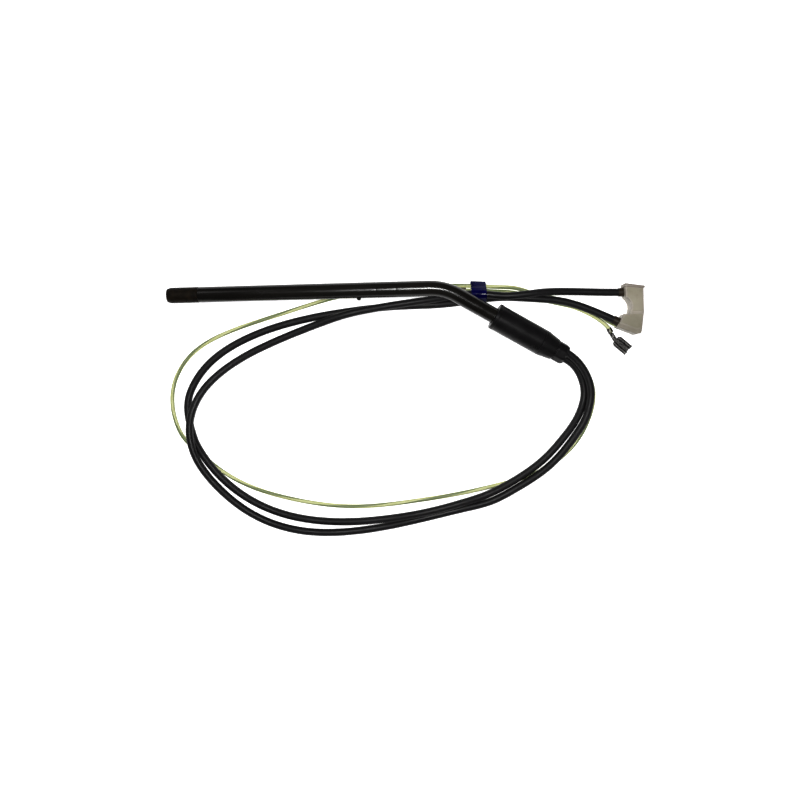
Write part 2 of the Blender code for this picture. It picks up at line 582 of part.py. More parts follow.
def main():
    clear_scene()
    tube_paint = make_material("tube_paint", (0.012, 0.011, 0.010), 0.32, 0.3)
    tip_paint = make_material("tip_paint", (0.020, 0.016, 0.013), 0.45, 0.2)
    glass = make_material("window_glass", (0.60, 0.66, 0.66), 0.05)
    plastic = make_material("housing_plastic", (0.012, 0.012, 0.014), 0.42)
    nut_plastic = make_material("nut_plastic", (0.016, 0.016, 0.018), 0.38)
    rubber = make_material("rubber", (0.03, 0.022, 0.016), 0.7)
    white = make_material("insulator", (0.70, 0.68, 0.62), 0.5)
    steel = make_material("steel", (0.55, 0.55, 0.55), 0.35, 1.0)
    brass = make_material("brass", (0.60, 0.44, 0.20), 0.35, 1.0)
    copper = make_material("copper", (0.70, 0.35, 0.20), 0.35, 1.0)
    tin = make_material("tinned_metal", (0.32, 0.30, 0.26), 0.38, 1.0)
    red = make_material("lead_red", (0.40, 0.03, 0.02), 0.5)
    lead_blue = make_material("lead_blue", (0.03, 0.06, 0.35), 0.5)
    jacket = make_material("cable_jacket", (0.014, 0.014, 0.016), 0.5)
    green = make_material("earth_insulation", (0.36, 0.42, 0.14), 0.45)
    blue = make_material("band_plastic", (0.004, 0.002, 0.10), 0.2)
    plug_plastic = make_material("plug_plastic", (0.42, 0.39, 0.34), 0.45)

    lie = Matrix.Rotation(-PITCH, 4, "Y") @ Matrix.Rotation(ROLL, 4, "X")
    probe = make_frame("probe_frame", None, Matrix.Translation(TIP_PLACE) @ lie)
    corner = Matrix.Translation((TIP_TO_BEND, 0, 0)) @ Matrix.Rotation(-BEND_ANGLE, 4, "Z")
    housing = make_frame("housing_frame", probe, corner)
    nut_frame = make_frame("nut_axis", housing, Matrix.Identity(4))
    placed = Matrix.Translation(TIP_PLACE) @ lie @ corner

    make_tip(tip_paint, glass, rubber, brass, probe)
    make_sensor(steel, tin, white, probe)
    make_sight_tube(tube_paint, probe)
    make_locating_pin(tube_paint, probe)
    make_leads(red, lead_blue, copper, lambda x, y, z: corner @ Vector((x, y, z)), probe)
    make_housing(plastic, nut_plastic, rubber, steel, copper, housing, nut_frame)
    make_joints_inside(tin, copper, green, housing)
    make_harness(jacket, green, blue, tin, lambda x, y, z: placed @ Vector((x, y, z)))
    make_plug(plug_plastic, rubber, tin)
    make_terminal(tin)


main()
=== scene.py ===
"""Flame sensor probe on a pale table, seen from above: a bent sighting tube with a screwed tip, a housing
with a cable nut, and a harness of two black cables and a green and yellow earth wire that ends in a flat
plug and a tab terminal. Everything is in metres, in the frame of the CAD model.
"""

import math

import bmesh
import bpy
import numpy as np
from mathutils import Matrix, Vector, noise


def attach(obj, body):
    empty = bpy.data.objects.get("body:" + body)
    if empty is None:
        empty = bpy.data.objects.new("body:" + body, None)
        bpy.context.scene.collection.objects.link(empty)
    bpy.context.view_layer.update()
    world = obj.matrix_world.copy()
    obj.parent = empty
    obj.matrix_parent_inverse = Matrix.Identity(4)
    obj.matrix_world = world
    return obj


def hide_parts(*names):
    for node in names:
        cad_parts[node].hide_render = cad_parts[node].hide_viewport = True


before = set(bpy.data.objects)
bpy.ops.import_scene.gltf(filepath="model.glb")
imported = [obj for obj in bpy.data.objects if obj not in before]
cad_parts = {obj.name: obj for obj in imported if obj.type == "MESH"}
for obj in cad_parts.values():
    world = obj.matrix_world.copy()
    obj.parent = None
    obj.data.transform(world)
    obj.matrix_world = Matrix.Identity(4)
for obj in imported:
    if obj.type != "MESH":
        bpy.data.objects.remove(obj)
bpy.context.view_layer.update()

MM = 0.001


def placed(x, y, z, turn=0.0):
    """A frame at a place in metres, turned about Z by this many degrees."""
    return Matrix.Translation((x, y, z)) @ Matrix.Rotation(math.radians(turn), 4, "Z")


# ---------------------------------------------------------------- places shared with the CAD model

TIP_TO_BEND = 179.0
BEND_ANGLE = math.radians(30.7)
BEND_RADIUS = 35.0
SETBACK = BEND_RADIUS * math.tan(BEND_ANGLE / 2)
PROBE = (
    Matrix.Translation((-0.1298, 0.0226, 0.005))
    @ Matrix.Rotation(math.radians(-3.0), 4, "Y")
    @ Matrix.Rotation(math.radians(14.4), 4, "X")
)
HOUSING = PROBE @ Matrix.Translation((TIP_TO_BEND * MM, 0, 0)) @ Matrix.Rotation(-BEND_ANGLE, 4, "Z")
PLUG = placed(0.1645, 0.0232, 0.0)
ENTRY_A = placed(0.1652, 0.0185, 0.0050)
ENTRY_B = placed(0.1609, -0.0008, 0.0072, -28.0)
ENTRY_EARTH = placed(0.16065, -0.0026, 0.0027, -26.0)
TERMINAL = placed(0.1559, -0.0047, 0.0002, -61.0)
NECK_LENGTH = 0.0077
TERMINAL_BOX = placed(*(TERMINAL @ Vector((NECK_LENGTH, 0, 0))), -41.0)

CABLE_RADIUS = 0.0024
WIRE_RADIUS = 0.0013
CABLE_TURN = math.radians(35.0)
WIRE_TURN = math.radians(-55.0)
CABLE_OFFSET = 2.7
WIRE_OFFSET = 3.35
PORT_STATIONS = (70.0, 79.0, 88.0)
NUT_END = 89.5
TUBE_PAST_BEND = 49.5
ROLLED_RINGS = (135.6, 148.5)
HOUSING_RADIUS = 8.46
FLOOR_GAP = 0.00005
SHARP_ANGLE = 34.0

ROUTE_A = (
    (0.1333, -0.0251, 0.0083), (0.1377, -0.0307, 0.0077), (0.1425, -0.0457, 0.0069),
    (0.1415, -0.0540, 0.0065), (0.1384, -0.0634, 0.0062), (0.1324, -0.0729, 0.0059),
    (0.1166, -0.0912, 0.0056), (0.0922, -0.1074, 0.0056), (0.0766, -0.1151, 0.0044),
    (0.0610, -0.1192, 0.0027), (0.0240, -0.1272, 0.0025), (-0.0152, -0.1329, 0.0025),
    (-0.0511, -0.1309, 0.0025), (-0.0831, -0.1172, 0.0028), (-0.0962, -0.1060, 0.0046),
    (-0.1065, -0.0939, 0.0068), (-0.1133, -0.0821, 0.0083), (-0.1164, -0.0711, 0.0087),
    (-0.1167, -0.0608, 0.0081), (-0.1108, -0.0432, 0.0060), (-0.0922, -0.0244, 0.0029),
    (-0.0613, -0.0084, 0.0026), (-0.0303, 0.0030, 0.0052), (-0.0152, 0.0075, 0.0075),
    (-0.0003, 0.0105, 0.0079), (0.0301, 0.0148, 0.0077), (0.0437, 0.0166, 0.0068),
    (0.0548, 0.0183, 0.0057), (0.0639, 0.0192, 0.0063), (0.0721, 0.0190, 0.0077),
    (0.0798, 0.0182, 0.0084), (0.0875, 0.0174, 0.0087), (0.0951, 0.0175, 0.0093),
    (0.1028, 0.0181, 0.0098), (0.1126, 0.0192, 0.0088), (0.1240, 0.0197, 0.0063),
    (0.1514, 0.0188, 0.0049), (0.1645, 0.0185, 0.0050), (0.1690, 0.0185, 0.0050),
)
ROUTE_B = (
    (0.1321, -0.0280, 0.0041), (0.1359, -0.0335, 0.0034), (0.1388, -0.0469, 0.0030),
    (0.1366, -0.0563, 0.0032), (0.1321, -0.0650, 0.0040), (0.1259, -0.0730, 0.0050),
    (0.1118, -0.0880, 0.0056), (0.0887, -0.1036, 0.0056), (0.0740, -0.1106, 0.0056),
    (0.0585, -0.1154, 0.0058), (0.0430, -0.1193, 0.0062), (0.0046, -0.1252, 0.0059),
    (-0.0338, -0.1256, 0.0027), (-0.0687, -0.1166, 0.0025), (-0.0930, -0.1004, 0.0046),
    (-0.1022, -0.0906, 0.0054), (-0.1092, -0.0811, 0.0052), (-0.1141, -0.0726, 0.0039),
    (-0.1171, -0.0635, 0.0027), (-0.1185, -0.0453, 0.0025), (-0.1149, -0.0356, 0.0025),
    (-0.1072, -0.0247, 0.0025), (-0.0808, -0.0066, 0.0025), (-0.0461, 0.0046, 0.0025),
    (-0.0122, 0.0102, 0.0025), (0.0204, 0.0128, 0.0025), (0.0497, 0.0136, 0.0027),
    (0.0608, 0.0147, 0.0032), (0.0705, 0.0159, 0.0035), (0.0790, 0.0167, 0.0034),
    (0.0874, 0.0170, 0.0036), (0.0957, 0.0166, 0.0044), (0.1040, 0.0159, 0.0052),
    (0.1130, 0.0151, 0.0054), (0.1240, 0.0137, 0.0054), (0.1452, 0.0067, 0.0059),
    (0.1535, 0.0028, 0.0069), (0.1609, -0.0008, 0.0072), (0.1632, -0.0020, 0.0073),
)
ROUTE_EARTH = (
    (0.1336, -0.0236, 0.0032), (0.1389, -0.0290, 0.0022), (0.1428, -0.0359, 0.0015),
    (0.1450, -0.0437, 0.0014), (0.1416, -0.0632, 0.0014), (0.1365, -0.0732, 0.0014),
    (0.1278, -0.0838, 0.0014), (0.1008, -0.0998, 0.0014), (0.0876, -0.1034, 0.0014),
    (0.0582, -0.1096, 0.0014), (0.0262, -0.1142, 0.0014), (-0.0117, -0.1168, 0.0014),
    (-0.0539, -0.1107, 0.0014), (-0.0875, -0.0984, 0.0014), (-0.1017, -0.0889, 0.0014),
    (-0.1135, -0.0786, 0.0014), (-0.1221, -0.0699, 0.0014), (-0.1268, -0.0601, 0.0014),
    (-0.1283, -0.0372, 0.0014), (-0.1167, -0.0163, 0.0014), (-0.0907, -0.0012, 0.0014),
    (-0.0546, 0.0102, 0.0014), (-0.0185, 0.0200, 0.0014), (0.0239, 0.0245, 0.0014),
    (0.0435, 0.0256, 0.0014), (0.0727, 0.0247, 0.0021), (0.0858, 0.0240, 0.0016),
    (0.0962, 0.0230, 0.0014), (0.1053, 0.0202, 0.0014), (0.1150, 0.0175, 0.0014),
    (0.1247, 0.0151, 0.0014), (0.1332, 0.0130, 0.0014), (0.1409, 0.0104, 0.0014),
    (0.1475, 0.0067, 0.0014), (0.1520, 0.0032, 0.0017), (0.1555, 0.0003, 0.0023),
    (0.16065, -0.0026, 0.0027), (0.1632, -0.00384, 0.0027),
)
ROUTE_TAIL = (
    (0.0605, 0.0222, 0.0019), (0.0727, 0.0218, 0.0021), (0.0857, 0.0210, 0.0016),
    (0.0955, 0.0200, 0.0014), (0.1052, 0.0172, 0.0014), (0.1149, 0.0145, 0.0014),
    (0.1247, 0.0121, 0.0014), (0.1331, 0.0099, 0.0014), (0.1400, 0.0070, 0.0014),
    (0.1455, 0.0041, 0.0014), (0.1500, 0.0012, 0.0014), (0.1533, -0.0016, 0.0018),
    (0.1559, -0.0047, 0.0022), (0.1574, -0.0074, 0.00226),
)
PLUG_OUTLINE = (
    (0.4, -2.6), (0.8, 0.0), (12.0, -1.4), (12.0, -17.9), (10.3, -31.6), (7.2, -32.3),
    (-4.9, -27.3), (-1.6, -20.6), (-0.8, -19.2), (2.5, -19.9), (3.5, -18.0),
    (4.2, -15.0), (3.8, -12.2), (2.5, -9.8), (0.8, -8.3),
)
SLOPING_EDGES = (4, 5)
BAND_START = 66.6
BAND_END = 76.3
BAND_STATIONS = 16
BAND_SIDES = 144
BAND_SLACK = 0.0014


# ---------------------------------------------------------------- camera, lights and floor

def add_object(name, data):
    made = bpy.data.objects.new(name, data)
    bpy.context.scene.collection.objects.link(made)
    return made


def mesh_from(name, bm):
    mesh = bpy.data.meshes.new(name)
    bm.to_mesh(mesh)
    bm.free()
    return mesh


def add_camera():
    data = bpy.data.cameras.new("camera")
    data.lens = 41.35
    data.sensor_width = 36.0
    data.clip_start = 0.01
    camera = add_object("camera", data)
    camera.location = (0.0191, -0.0482, 0.600)
    camera.rotation_euler = (0, 0, math.radians(-1.2257))
    bpy.context.scene.camera = camera


def add_area(name, place, target, size, power):
    data = bpy.data.lights.new(name, "AREA")
    data.shape = "DISK"
    data.size = size
    data.energy = power
    light = add_object(name, data)
    light.location = place
    aim = Vector(target) - Vector(place)
    light.rotation_euler = aim.to_track_quat("-Z", "Y").to_euler()


def add_studio():
    add_area("key", (0.010, -0.020, 0.62), (0.03, -0.03, 0), 0.10, 3.2)
    add_area("soft_left", (-0.75, 0.55, 0.95), (0, -0.05, 0), 0.7, 3.1)
    add_area("soft_right", (0.85, -0.65, 0.95), (0, -0.05, 0), 0.8, 1.8)
    world = bpy.data.worlds.new("world")
    world.use_nodes = True
    sky = world.node_tree.nodes["Background"]
    sky.inputs["Color"].default_value = (0.95, 0.97, 1.0, 1)
    sky.inputs["Strength"].default_value = 0.11
    bpy.context.scene.world = world
    bpy.context.scene.view_settings.view_transform = "Standard"
    bpy.context.scene.view_settings.gamma = 0.78
    add_floor()


def add_floor():
    bm = bmesh.new()
    bmesh.ops.create_grid(bm, x_segments=2, y_segments=2, size=4.0)
    mesh = mesh_from("floor", bm)
    floor = add_object("floor", mesh)
    paint = bpy.data.materials.new("floor_paint")
    paint.use_nodes = True
    shader = paint.node_tree.nodes["Principled BSDF"]
    shader.inputs["Base Color"].default_value = (0.92, 0.92, 0.92, 1)
    shader.inputs["Roughness"].default_value = 0.9
    shader.inputs["Specular IOR Level"].default_value = 0.0
    shader.inputs["Emission Color"].default_value = (1, 1, 1, 1)
    shader.inputs["Emission Strength"].default_value = 0.62
    mesh.materials.append(paint)


# ---------------------------------------------------------------- materials

class Paint:
    """A Principled material whose colour, roughness and height come from procedural nodes."""

    def __init__(self, name, color, roughness, metallic=0.0, specular=0.5):
        self.material = bpy.data.materials.new(name)
        self.material.use_nodes = True
        self.nodes = self.material.node_tree.nodes
        self.links = self.material.node_tree.links
        self.shader = self.nodes["Principled BSDF"]
        self.set("Base Color", (*color, 1.0))
        self.set("Roughness", roughness)
        self.set("Metallic", metallic)
        self.set("Specular IOR Level", specular)
        self.coords = self.nodes.new("ShaderNodeTexCoord")

    def set(self, socket, value):
        self.shader.inputs[socket].default_value = value

    def noise(self, scale, detail=4.0, stretch=(1, 1, 1), source="Object", distortion=0.0):
        """Noise of about this many features to a unit, stretched by its mapping."""
        mapping = self.nodes.new("ShaderNodeMapping")
        mapping.inputs["Scale"].default_value = stretch
        texture = self.nodes.new("ShaderNodeTexNoise")
        texture.inputs["Scale"].default_value = scale
        texture.inputs["Detail"].default_value = detail
        texture.inputs["Distortion"].default_value = distortion
        self.links.new(self.coords.outputs[source], mapping.inputs["Vector"])
        self.links.new(mapping.outputs["Vector"], texture.inputs["Vector"])
        return texture.outputs["Fac"]

    def span(self, factor, low, high, start=0.3, end=0.7):
        """A value that goes from low to high as the factor goes from start to end."""
        node = self.nodes.new("ShaderNodeMapRange")
        node.inputs["From Min"].default_value = start
        node.inputs["From Max"].default_value = end
        node.inputs["To Min"].default_value = low
        node.inputs["To Max"].default_value = high
        self.links.new(factor, node.inputs["Value"])
        return node.outputs["Result"]

    def mix(self, factor, first, second):
        """A colour between two, each a colour or another node's output."""
        node = self.nodes.new("ShaderNodeMix")
        node.data_type = "RGBA"
        self.links.new(factor, node.inputs["Factor"])
        for socket, value in ((node.inputs[6], first), (node.inputs[7], second)):
            if isinstance(value, tuple):
                socket.default_value = (*value, 1.0)
            else:
                self.links.new(value, socket)
        return node.outputs[2]

    def blend(self, factor, first, second, start=0.3, end=0.7):
        """A colour that goes from one to the other as the factor goes from start to end."""
        return self.mix(self.span(factor, 0, 1, start, end), first, second)

    def drive(self, socket, output):
        self.links.new(output, self.shader.inputs[socket])

    def bump(self, factor, height, strength=1.0):
        """Relief of this height in metres."""
        node = self.nodes.new("ShaderNodeBump")
        node.inputs["Strength"].default_value = strength
        node.inputs["Distance"].default_value = height
        self.links.new(factor, node.inputs["Height"])
        if self.shader.inputs["Normal"].is_linked:
            before = self.shader.inputs["Normal"].links[0].from_socket
            self.links.new(before, node.inputs["Normal"])
        self.links.new(node.outputs["Normal"], self.shader.inputs["Normal"])


def tube_paint():
    paint = Paint("tube_paint", (0.010, 0.009, 0.008), 0.26, specular=0.34)
    cloud = paint.noise(60.0, 5.0, (0.35, 1, 1))
    paint.drive("Base Color", paint.blend(cloud, (0.0070, 0.0062, 0.0052), (0.0145, 0.0130, 0.0108)))
    paint.drive("Roughness", paint.span(paint.noise(220.0, 4.0, (0.12, 1, 1)), 0.16, 0.27))
    paint.bump(paint.noise(900.0, 3.0, (0.08, 1, 1)), 0.00003, 0.5)
    paint.bump(paint.noise(2600.0, 2.0), 0.00002, 0.35)
    return paint.material


def tip_paint():
    paint = Paint("tip_paint", (0.012, 0.010, 0.008), 0.5, specular=0.11)
    soot = paint.noise(300.0, 6.0)
    paint.drive("Base Color", paint.blend(soot, (0.006, 0.0048, 0.0036), (0.018, 0.0125, 0.0070)))
    paint.drive("Roughness", paint.span(paint.noise(500.0, 4.0), 0.40, 0.68))
    paint.bump(paint.noise(2400.0, 4.0), 0.00004, 0.5)
    return paint.material


def moulded(name, dark, light, roughness, specular=0.4, grain=1500.0, height=0.00003):
    """Injection-moulded plastic: a faint cloudy colour, uneven sheen and a fine grain."""
    paint = Paint(name, dark, roughness, specular=specular)
    paint.drive("Base Color", paint.blend(paint.noise(90.0, 5.0), dark, light))
    paint.drive("Roughness", paint.span(paint.noise(240.0, 5.0), roughness - 0.06, roughness + 0.08))
    paint.bump(paint.noise(grain, 3.0), height, 0.5)
    return paint.material


def jacket(name, dark, light, roughness):
    """Extruded cable jacket: lengthwise drawing marks, dull patches and a little dust."""
    paint = Paint(name, dark, roughness, specular=0.24)
    patches = paint.noise(26.0, 5.0)
    dust = paint.noise(700.0, 6.0)
    worn = paint.blend(patches, dark, light, 0.35, 0.75)
    paint.drive("Base Color", paint.mix(paint.span(dust, 0, 0.5, 0.58, 0.80), worn, (0.045, 0.045, 0.048)))
    paint.drive("Roughness", paint.span(paint.noise(60.0, 4.0), roughness - 0.09, roughness + 0.09))
    paint.bump(paint.noise(1.0, 3.0, (42, 2.0, 1), "UV"), 0.00004, 0.6)
    paint.bump(paint.noise(1800.0, 3.0), 0.00002, 0.4)
    return paint.material


def earth_insulation():
    """Two pairs of green and yellow stripes that run along the wire with a slow twist."""
    paint = Paint("earth_insulation", (0.2, 0.25, 0.08), 0.42, specular=0.45)
    split = paint.nodes.new("ShaderNodeSeparateXYZ")
    paint.links.new(paint.coords.outputs["UV"], split.inputs["Vector"])
    twist = paint.nodes.new("ShaderNodeMath")
    twist.operation = "MULTIPLY_ADD"
    twist.inputs[1].default_value = 0.07
    paint.links.new(split.outputs["Y"], twist.inputs[0])
    paint.links.new(split.outputs["X"], twist.inputs[2])
    pair = paint.nodes.new("ShaderNodeMath")
    pair.operation = "MULTIPLY"
    pair.inputs[1].default_value = 2.0
    paint.links.new(twist.outputs[0], pair.inputs[0])
    part = paint.nodes.new("ShaderNodeMath")
    part.operation = "FRACT"
    paint.links.new(pair.outputs[0], part.inputs[0])
    stripe = paint.span(part.outputs[0], 0, 1, 0.46, 0.49)
    wander = paint.noise(1.0, 3.0, (1, 0.9, 1), "UV")
    yellow = paint.blend(wander, (0.62, 0.64, 0.34), (0.52, 0.55, 0.24))
    green = paint.blend(wander, (0.17, 0.22, 0.085), (0.22, 0.25, 0.13))
    paint.drive("Base Color", paint.mix(stripe, yellow, green))
    paint.drive("Roughness", paint.span(paint.noise(120.0, 4.0), 0.34, 0.50))
    paint.bump(paint.noise(1.0, 3.0, (30, 2.0, 1), "UV"), 0.00002, 0.5)
    return paint.material


def band_film():
    paint = Paint("band_film", (0.002, 0.0015, 0.045), 0.16, specular=0.10)
    crease = paint.noise(420.0, 4.0, (0.5, 1, 1), distortion=0.6)
    paint.drive("Base Color", paint.blend(crease, (0.0012, 0.0010, 0.022), (0.0028, 0.0020, 0.075)))
    paint.drive("Roughness", paint.span(crease, 0.12, 0.26))
    paint.bump(crease, 0.00005, 0.5)
    return paint.material


def plug_plastic(name, tint):
    """Stained grey plastic, paler over the plug's upper half than over its lower half."""
    paint = Paint(name, (0.30, 0.27, 0.23), 0.46, specular=0.4)
    broad = paint.noise(70.0, 4.0)
    stain = paint.noise(240.0, 6.0)

    def cloudy(first, second):
        first, second = [tuple(a * b for a, b in zip(colour, tint)) for colour in (first, second)]
        return paint.blend(broad, first, second)

    pale = cloudy((0.445, 0.402, 0.345), (0.362, 0.325, 0.268))
    lower_tone = cloudy((0.368, 0.333, 0.280), (0.286, 0.260, 0.210))
    split = paint.nodes.new("ShaderNodeSeparateXYZ")
    paint.links.new(paint.coords.outputs["Object"], split.inputs["Vector"])
    # The colour goes from the darker tone at low Y to the pale one at high Y.
    base = paint.mix(paint.span(split.outputs["Y"], 1, 0, -0.001, 0.006), pale, lower_tone)
    paint.drive("Base Color", paint.mix(paint.span(stain, 0, 0.45, 0.55, 0.8), base, (0.22, 0.19, 0.145)))
    paint.drive("Roughness", paint.span(paint.noise(300.0, 4.0), 0.38, 0.55))
    paint.bump(paint.noise(1300.0, 3.0), 0.00004, 0.5)
    return paint.material


def metal(name, dark, light, roughness, scale=400.0):
    """Plain metal with tarnish, rolling marks and an uneven shine."""
    paint = Paint(name, dark, roughness, metallic=1.0)
    paint.drive("Base Color", paint.blend(paint.noise(scale, 6.0), dark, light))
    paint.drive("Roughness", paint.span(paint.noise(scale * 1.6, 5.0), roughness - 0.10, roughness + 0.14))
    paint.bump(paint.noise(scale * 5, 3.0, (0.2, 1, 1)), 0.00003, 0.6)
    return paint.material


def clear_glass():
    paint = Paint("clear_glass", (0.93, 0.96, 0.95), 0.03)
    paint.set("Transmission Weight", 1.0)
    paint.set("IOR", 1.47)
    paint.drive("Roughness", paint.span(paint.noise(500.0, 4.0), 0.02, 0.10))
    return paint.material


TUBE = tube_paint()
TIP = tip_paint()
HOUSING_BLACK, CAP_BLACK = [
    moulded(name, (0.0065, 0.0060, 0.0063), (0.012, 0.0112, 0.0118), roughness, 0.20)
    for name, roughness in (("housing_black", 0.34), ("cap_black", 0.38))
]
NUT_BLACK = moulded("nut_black", (0.008, 0.0074, 0.0078), (0.014, 0.0132, 0.0138), 0.34, 0.24)
RUBBER = moulded("soft_rubber", (0.020, 0.015, 0.010), (0.036, 0.026, 0.017), 0.62, 0.3, 900.0, 0.00006)
INSULATOR = moulded("white_insulator", (0.66, 0.63, 0.56), (0.74, 0.71, 0.65), 0.45)
LEAD_RED = moulded("lead_red_skin", (0.36, 0.025, 0.018), (0.46, 0.04, 0.03), 0.45)
LEAD_BLUE = moulded("lead_blue_skin", (0.022, 0.05, 0.30), (0.035, 0.07, 0.42), 0.45)
JACKET_A = jacket("jacket_a", (0.0085, 0.0080, 0.0084), (0.015, 0.0145, 0.0155), 0.46)
JACKET_B = jacket("jacket_b", (0.0080, 0.0076, 0.0080), (0.016, 0.0155, 0.0165), 0.50)
EARTH = earth_insulation()
BAND = band_film()
PLUG_GREY = plug_plastic("plug_plastic", (1.0, 1.0, 1.0))
PLUG_OLIVE = plug_plastic("plug_field_plastic", (0.90, 0.915, 0.84))
# Painted shade: a darker copy of the plug plastic, put on the flange to stand in for the shade along it.
PLUG_FLANGE_SHADE = plug_plastic("plug_flange_painted_shade", (0.70, 0.68, 0.68))
BOOT = moulded("boot_brown", (0.020, 0.014, 0.008), (0.036, 0.024, 0.013), 0.5, 0.3)
TIN = metal("tinned_metal", (0.20, 0.185, 0.155), (0.42, 0.40, 0.36), 0.34)
TARNISHED = metal("tarnished_tin", (0.010, 0.010, 0.010), (0.20, 0.195, 0.185), 0.38, 1100.0)
STEEL = metal("plain_steel", (0.42, 0.42, 0.42), (0.60, 0.60, 0.60), 0.30)
BRASS = metal("turned_brass", (0.50, 0.36, 0.16), (0.66, 0.49, 0.24), 0.30)
COPPER = metal("bare_copper", (0.52, 0.24, 0.13), (0.72, 0.37, 0.22), 0.34)
GLASS = clear_glass()


# ---------------------------------------------------------------- shape tools

def rounded(outline, radius, steps=4, closed=True):
    """Rounds each corner of an outline of 2-D points, with a point each side to hold the flats flat."""
    points = [np.array(point, dtype=float) for point in outline]
    count = len(points)
    made = []
    for i, corner in enumerate(points):
        if not closed and i in (0, count - 1):
            made.append(tuple(corner))
            continue
        before, after = points[i - 1], points[(i + 1) % count]
        first, second = before - corner, after - corner
        size = min(radius, 0.34 * np.linalg.norm(first), 0.34 * np.linalg.norm(second))
        first = first / np.linalg.norm(first)
        second = second / np.linalg.norm(second)
        made.append(tuple(corner + first * size * 1.35))
        for step in range(steps + 1):
            t = step / steps
            weight = size * ((1 - t) ** 2 * first + t**2 * second)
            made.append(tuple(corner + weight))
        made.append(tuple(corner + second * size * 1.35))
    return made


def finish_piece(name, bm, material, matrix, body, angle=SHARP_ANGLE):
    bmesh.ops.transform(bm, matrix=matrix, verts=bm.verts)
    bmesh.ops.recalc_face_normals(bm, faces=bm.faces)
    mesh = mesh_from(name, bm)
    mesh.shade_smooth()
    mesh.set_sharp_from_angle(angle=math.radians(angle))
    mesh.materials.append(material)
    piece = add_object(name, mesh)
    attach(piece, body)
    return piece


def present(node):
    """Hides a CAD node; a piece made here takes its place in view."""
    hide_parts(node)


def bridge(bm, first, second):
    """A band of faces between two closed rings of as many points."""
    for i in range(len(first)):
        j = (i + 1) % len(first)
        bm.faces.new((first[i], first[j], second[j], second[i]))


def on_axis(along):
    return Vector((along * MM, 0, 0)), Vector((0, 1, 0)), Vector((0, 0, 1))


def on_bent_axis(along):
    """The tube's axis by length from the tip: a straight run, the bend and a second straight run."""
    first = TIP_TO_BEND - SETBACK
    turn = min(max((along - first) / BEND_RADIUS, 0.0), BEND_ANGLE)
    side = Vector((math.sin(turn), math.cos(turn), 0))
    run = Vector((math.cos(turn), -math.sin(turn), 0))
    place = Vector((min(along, first), 0, 0))
    place += Vector((BEND_RADIUS * math.sin(turn), BEND_RADIUS * (math.cos(turn) - 1), 0))
    place += run * max(0.0, along - first - BEND_RADIUS * BEND_ANGLE)
    return place * MM, side, Vector((0, 0, 1))


def turned(name, profile, material, matrix, body, steps=96, axis=on_axis, shape=None, closed=True):
    """Turns an outline of (along, radius) points, in millimetres; shape may change a radius by its angle."""
    bm = bmesh.new()
    rings = []
    for along, radius in profile:
        place, side, up = axis(along)
        if radius < 0.001:
            rings.append([bm.verts.new(place)])
            continue
        ring = []
        for i in range(steps):
            turn = math.tau * i / steps
            size = shape(along, radius, turn) if shape else radius
            ring.append(bm.verts.new(place + (side * math.cos(turn) + up * math.sin(turn)) * size * MM))
        rings.append(ring)
    pairs = list(zip(rings, rings[1:]))
    if closed:
        pairs.append((rings[-1], rings[0]))
    for first, second in pairs:
        if len(first) > 1 and len(second) > 1:
            bridge(bm, first, second)
            continue
        for i in range(steps):
            j = (i + 1) % steps
            if len(first) > 1:
                bm.faces.new((first[i], first[j], second[0]))
            elif len(second) > 1:
                bm.faces.new((first[0], second[j], second[i]))
    return finish_piece(name, bm, material, matrix, body)


def subdivided(profile, longest):
    """The closed outline with its long edges cut into steps no longer than this."""
    made = []
    for first, second in zip(profile, profile[1:] + profile[:1]):
        count = max(1, math.ceil(math.dist(first, second) / longest))
        for i in range(count):
            t = i / count
            made.append(tuple(a + (b - a) * t for a, b in zip(first, second)))
    return made


def smooth_points(route, spacing, least_z):
    """Points at even steps along a natural cubic spline through the route, none lower than least_z."""
    points = np.array([tuple(point) for point in route], dtype=float)
    lengths = np.linalg.norm(np.diff(points, axis=0), axis=1)
    at = np.concatenate([[0.0], np.cumsum(lengths)])
    count = len(points)
    system = np.eye(count)
    right = np.zeros((count, 3))
    for i in range(1, count - 1):
        before, after = lengths[i - 1], lengths[i]
        system[i, i - 1:i + 2] = (before, 2 * (before + after), after)
        right[i] = 6 * ((points[i + 1] - points[i]) / after - (points[i] - points[i - 1]) / before)
    bends = np.linalg.solve(system, right)
    wanted = np.linspace(0.0, at[-1], max(3, round(at[-1] / spacing)) + 1)
    span = np.clip(np.searchsorted(at, wanted, side="right") - 1, 0, count - 2)
    size = lengths[span][:, None]
    left = at[span + 1][:, None] - wanted[:, None]
    done = wanted[:, None] - at[span][:, None]
    found = (bends[span] * left**3 + bends[span + 1] * done**3) / (6 * size)
    found += (points[span] / size - bends[span] * size / 6) * left
    found += (points[span + 1] / size - bends[span + 1] * size / 6) * done
    found[:, 2] = np.maximum(found[:, 2], least_z)
    return found


